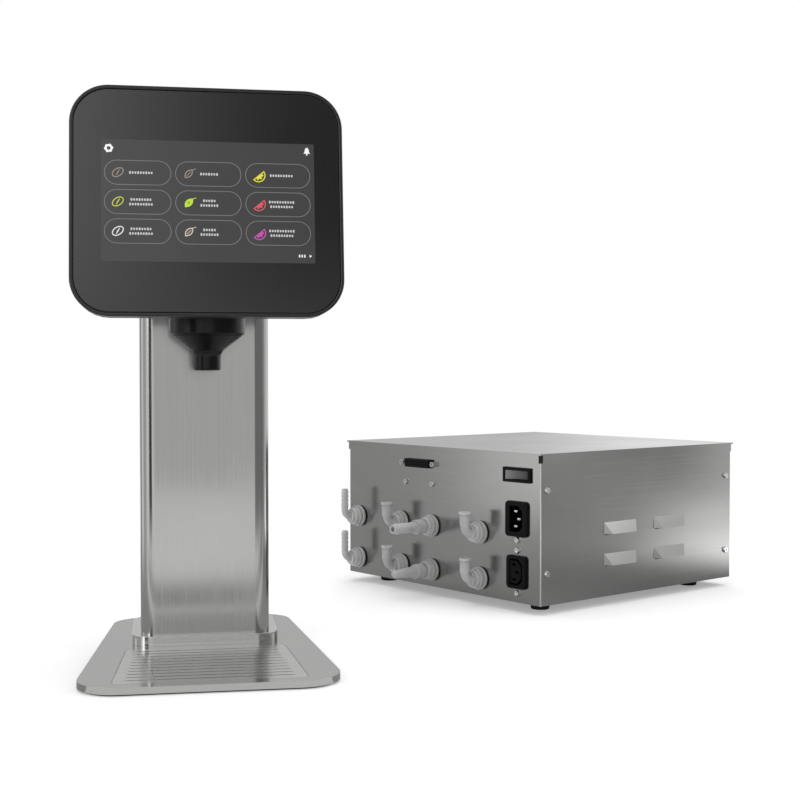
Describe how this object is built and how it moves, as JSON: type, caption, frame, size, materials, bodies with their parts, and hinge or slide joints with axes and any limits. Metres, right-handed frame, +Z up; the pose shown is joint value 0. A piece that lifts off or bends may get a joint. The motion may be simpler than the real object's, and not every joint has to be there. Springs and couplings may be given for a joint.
{
  "type": "syrup dispensing system",
  "caption": "Counter-top syrup tap tower with a touch-screen head, nozzle and drip plate, beside a louvred steel pump box with push-in and barbed tube fittings.",
  "frame": {"origin": "on the counter below the middle of the tower column", "axes": "+X to the right of the tower, +Y to its back, +Z up; the screen faces -Y"},
  "size_m": [0.6492, 0.6325, 0.4319],
  "materials": {
    "stainless": "satin brushed stainless steel",
    "polished": "bright stainless fasteners",
    "black_moulding": "fine-grained black moulding",
    "black_gloss": "glossy black moulding",
    "screen_glass": "black printed cover glass",
    "rubber": "black rubber",
    "grey_acetal": "light grey moulded fitting",
    "clear_tube": "milky tubing",
    "circuit_board": "green board",
    "motor_steel": "plated steel"
  },
  "bodies": {
    "frame": {"base_plate": "stainless", "base_pad": "rubber", "column_foot": "stainless", "foot_screws": "polished", "column": "stainless", "column_cap": "stainless", "head_bracket": "motor_steel", "bracket_bolts": "polished", "head_frame": "black_moulding", "head_rear_cover": "black_moulding", "cover_screws": "black_moulding", "cover_glass": "screen_glass", "glass_seal": "rubber", "display_module": "black_gloss", "control_board": "circuit_board", "injector_block": "grey_acetal", "riser_tubes": "clear_tube", "nozzle_collar": "black_gloss", "floor_pan": "stainless", "connection_panel": "stainless", "rear_panel": "stainless", "louvre_panel": "stainless", "far_panel": "stainless", "lid": "stainless", "rubber_feet": "rubber", "rubber_foot_screws": "polished", "panel_screws": "polished", "switch_body": "black_gloss", "mains_inlet": "black_moulding", "inlet_pins": "polished", "mains_outlet": "black_moulding", "socket_screws": "polished", "data_connector": "black_moulding", "jackscrews": "polished", "board_bracket": "motor_steel", "pump_board": "circuit_board", "bracket_screws": "polished", "bulkhead_bodies": "grey_acetal", "bulkhead_seals": "rubber", "bulkhead_nuts": "grey_acetal", "straight_barb": "grey_acetal", "tapered_plug": "grey_acetal", "pump_heads": "black_moulding", "pump_motors": "motor_steel", "pump_tubes": "clear_tube", "power_supply": "motor_steel"},
    "drip_plate": {"drip_plate": "stainless"},
    "spout": {"nozzle_spout": "black_gloss", "nozzle_o_ring": "rubber"},
    "rocker": {"rocker": "black_gloss"},
    "elbow_1": {"push_elbow_1": "grey_acetal"},
    "elbow_2": {"push_elbow_2": "grey_acetal"},
    "elbow_3": {"push_elbow_3": "grey_acetal"},
    "elbow_4": {"push_elbow_4": "grey_acetal"},
    "collet_1": {"collet_1": "grey_acetal"},
    "collet_2": {"collet_2": "grey_acetal"},
    "collet_3": {"collet_3": "grey_acetal"},
    "collet_4": {"collet_4": "grey_acetal"},
    "hose_elbow_1": {"barb_elbow_1": "grey_acetal"},
    "hose_elbow_2": {"barb_elbow_2": "grey_acetal"}
  },
  "joints": [
    {"name": "drip_plate_lift", "type": "slide", "parent": "frame", "child": "drip_plate", "axis": [0, 0, 1], "range_m": [0, 0.06]},
    {"name": "spout_twist", "type": "hinge", "parent": "frame", "child": "spout", "pos_m": [0, -0.105, 0.2527], "axis": [0, 0, 1], "range_deg": [0, 60]},
    {"name": "rocker_press", "type": "hinge", "parent": "frame", "child": "rocker", "pos_m": [0.29446, 0.08798, 0.128], "axis": [0, 0, -1], "range_deg": [0, 16]},
    {"name": "elbow_1_swivel", "type": "hinge", "parent": "frame", "child": "elbow_1", "pos_m": [0.266, 0.12928, 0.07], "axis": [-0.866, -0.5, 0], "range_deg": [-90, 90]},
    {"name": "elbow_2_swivel", "type": "hinge", "parent": "frame", "child": "elbow_2", "pos_m": [0.2075, 0.23061, 0.07], "axis": [-0.866, -0.5, 0], "range_deg": [-90, 90]},
    {"name": "elbow_3_swivel", "type": "hinge", "parent": "frame", "child": "elbow_3", "pos_m": [0.266, 0.12928, 0.026], "axis": [-0.866, -0.5, 0], "range_deg": [-90, 90]},
    {"name": "elbow_4_swivel", "type": "hinge", "parent": "frame", "child": "elbow_4", "pos_m": [0.2075, 0.23061, 0.026], "axis": [-0.866, -0.5, 0], "range_deg": [-90, 90]},
    {"name": "collet_1_press", "type": "slide", "parent": "elbow_1", "child": "collet_1", "axis": [0, 0, -1], "range_m": [0, 0.0013]},
    {"name": "collet_2_press", "type": "slide", "parent": "elbow_2", "child": "collet_2", "axis": [0, 0, -1], "range_m": [0, 0.0013]},
    {"name": "collet_3_press", "type": "slide", "parent": "elbow_3", "child": "collet_3", "axis": [0, 0, -1], "range_m": [0, 0.0013]},
    {"name": "collet_4_press", "type": "slide", "parent": "elbow_4", "child": "collet_4", "axis": [0, 0, -1], "range_m": [0, 0.0013]},
    {"name": "hose_elbow_1_swivel", "type": "hinge", "parent": "frame", "child": "hose_elbow_1", "pos_m": [0.1725, 0.29123, 0.07], "axis": [-0.866, -0.5, 0], "range_deg": [-90, 90]},
    {"name": "hose_elbow_2_swivel", "type": "hinge", "parent": "frame", "child": "hose_elbow_2", "pos_m": [0.1725, 0.29123, 0.026], "axis": [-0.866, -0.5, 0], "range_deg": [-90, 90]}
  ]
}
